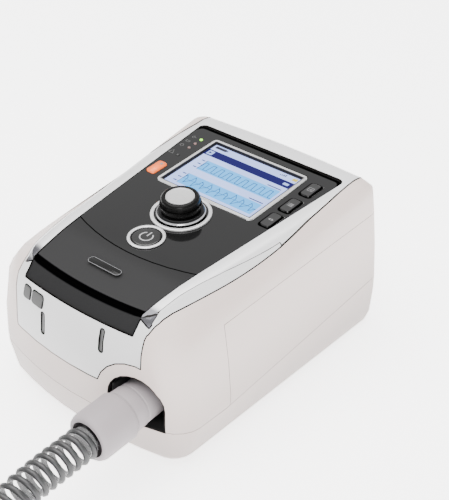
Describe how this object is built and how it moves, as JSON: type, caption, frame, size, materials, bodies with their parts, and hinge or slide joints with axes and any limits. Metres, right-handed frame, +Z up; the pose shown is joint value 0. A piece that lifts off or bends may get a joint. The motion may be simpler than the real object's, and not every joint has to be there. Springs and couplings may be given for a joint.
{
  "type": "portable transport ventilator",
  "caption": "Portable ventilator in a rounded plastic casing, with a tilted screen panel, push dial, keys and a ribbed breathing hose in a front outlet.",
  "frame": {"origin": "middle of the casing's footprint, on the surface that the feet stand on", "axes": "+Z up, +Y to the casing's rear, +X to the right seen from the front, where the outlet is"},
  "size_m": [0.2867, 0.5846, 0.1317],
  "materials": {
    "case_white": "fine matt, warm white",
    "cover_grey": "fine matt, light grey",
    "trim_silver": "satin silver grey",
    "panel_dark": "dark grey, satin",
    "gloss_black": "gloss black",
    "white_plastic": "satin white",
    "screen_glass": "display window",
    "silver_plastic": "plated plastic",
    "rubber_black": "matt black",
    "cap_grey": "light grey cap",
    "key_orange": "orange key",
    "light_green": "lit lens",
    "light_grey": "unlit lens",
    "plug_grey": "mid grey",
    "cuff_grey": "soft warm grey",
    "hose_grey": "grey hose",
    "board_green": "circuit board",
    "steel": "plain steel",
    "module_grey": "plain grey",
    "filter_foam": "filter pad"
  },
  "bodies": {
    "casing": {"base_tray": "case_white", "rear_housing": "case_white", "upper_housing": "case_white", "trim_frame": "trim_silver", "front_cover": "cover_grey", "front_fascia": "gloss_black", "control_panel": "panel_dark", "panel_lid": "panel_dark", "panel_tray": "rubber_black", "screen_bezel": "white_plastic", "screen_window": "screen_glass", "lcd_module": "module_grey", "dial_ring": "silver_plastic", "encoder": "steel", "power_ring": "silver_plastic", "status_light_1": "light_green", "status_light_2": "light_grey", "status_light_3": "light_grey", "status_light_4": "light_grey", "pressure_port_plug_left": "plug_grey", "pressure_port_plug_right": "plug_grey", "port_liner": "rubber_black", "outlet_spigot": "white_plastic", "hose_cuff": "cuff_grey", "air_hose": "hose_grey", "hose_coil": "hose_grey", "far_cuff": "cuff_grey", "blower_housing": "module_grey", "blower_motor": "steel", "silencer_box": "rubber_black", "outlet_duct": "rubber_black", "main_board": "board_green", "key_board": "board_green", "power_supply": "module_grey", "battery_pack": "gloss_black", "air_filter": "filter_foam", "mains_inlet": "gloss_black", "oxygen_inlet": "steel", "data_port_cover": "plug_grey", "foot_1": "rubber_black", "foot_2": "rubber_black", "foot_3": "rubber_black", "foot_4": "rubber_black", "case_screw_1": "steel", "case_screw_2": "steel", "case_screw_3": "steel", "case_screw_4": "steel"},
    "dial_shaft": {"encoder_shaft": "steel"},
    "dial": {"dial_skirt": "silver_plastic", "dial_drum": "rubber_black", "dial_cap": "cap_grey"},
    "power_key": {"power_button": "panel_dark"},
    "alarm_mute_key": {"alarm_key": "key_orange"},
    "upper_menu_key": {"menu_key_upper": "panel_dark"},
    "middle_menu_key": {"menu_key_middle": "panel_dark"},
    "lower_menu_key": {"menu_key_lower": "panel_dark"},
    "mains_rocker": {"rocker_switch": "rubber_black"},
    "blower_impeller": {"impeller": "white_plastic"},
    "filter_door": {"filter_cover": "case_white"}
  },
  "joints": [
    {"name": "dial_press", "type": "slide", "parent": "casing", "child": "dial_shaft", "axis": [0, 0.0436, -0.999], "range_m": [0, 0.0008], "stiffness_N_per_m": 1500},
    {"name": "dial_turn", "type": "hinge", "parent": "dial_shaft", "child": "dial", "pos_m": [0, -0.00625, 0.11686], "axis": [0, -0.0436, 0.999], "continuous": true},
    {"name": "power_press", "type": "slide", "parent": "casing", "child": "power_key", "axis": [0, 0.0436, -0.999], "range_m": [0, 0.0007], "stiffness_N_per_m": 800},
    {"name": "alarm_key_press", "type": "slide", "parent": "casing", "child": "alarm_mute_key", "axis": [0, 0.0436, -0.999], "range_m": [0, 0.0007], "stiffness_N_per_m": 800},
    {"name": "upper_menu_key_press", "type": "slide", "parent": "casing", "child": "upper_menu_key", "axis": [0, 0.0436, -0.999], "range_m": [0, 0.0007], "stiffness_N_per_m": 800},
    {"name": "middle_menu_key_press", "type": "slide", "parent": "casing", "child": "middle_menu_key", "axis": [0, 0.0436, -0.999], "range_m": [0, 0.0007], "stiffness_N_per_m": 800},
    {"name": "lower_menu_key_press", "type": "slide", "parent": "casing", "child": "lower_menu_key", "axis": [0, 0.0436, -0.999], "range_m": [0, 0.0007], "stiffness_N_per_m": 800},
    {"name": "mains_rocker_tilt", "type": "hinge", "parent": "casing", "child": "mains_rocker", "pos_m": [-0.0285, 0.1075, 0.06], "axis": [1, 0, 0], "range_deg": [-6, 6]},
    {"name": "impeller_spin", "type": "hinge", "parent": "casing", "child": "blower_impeller", "pos_m": [0.0284, -0.006, 0.045], "axis": [0, 0, 1], "continuous": true},
    {"name": "filter_door_swing", "type": "hinge", "parent": "casing", "child": "filter_door", "pos_m": [0.04, 0.1115, 0.05], "axis": [-1, 0, 0], "range_deg": [0, 90]}
  ]
}
